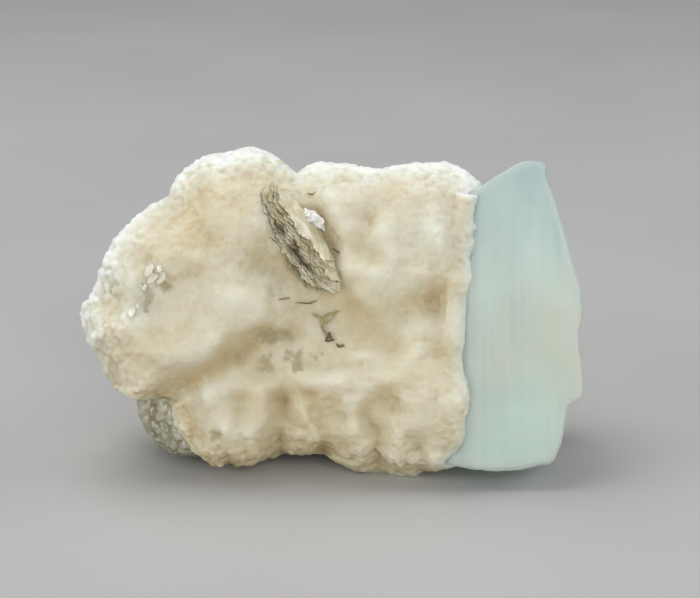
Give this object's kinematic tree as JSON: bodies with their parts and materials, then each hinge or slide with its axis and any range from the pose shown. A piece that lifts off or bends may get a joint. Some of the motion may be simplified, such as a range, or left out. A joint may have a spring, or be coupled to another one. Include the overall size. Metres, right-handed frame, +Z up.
{
  "type": "aquamarine crystal on feldspar and mica matrix",
  "caption": "Hand specimen: a pale blue-green, milky beryl prism seated in the end of a cream-white sugary feldspar matrix with silvery mica, resting on its own base.",
  "frame": {"origin": "middle of the specimen's bounding box in x and y, on the surface it rests on", "axes": "+X along the specimen's length towards the crystal end, +Y from its broad front face to its back, +Z up"},
  "size_m": [0.0546, 0.0258, 0.0339],
  "materials": {
    "feldspar": "matte",
    "beryl": "satin",
    "mica": "gloss",
    "mica_dark": "gloss",
    "quartz": "satin"
  },
  "bodies": {
    "root": {"matrix": "feldspar", "aquamarine_crystal": "beryl", "mica_book": "mica", "mica_flake_left": "mica", "mica_flake_centre": "mica_dark", "quartz_chunk": "quartz"}
  },
  "joints": []
}
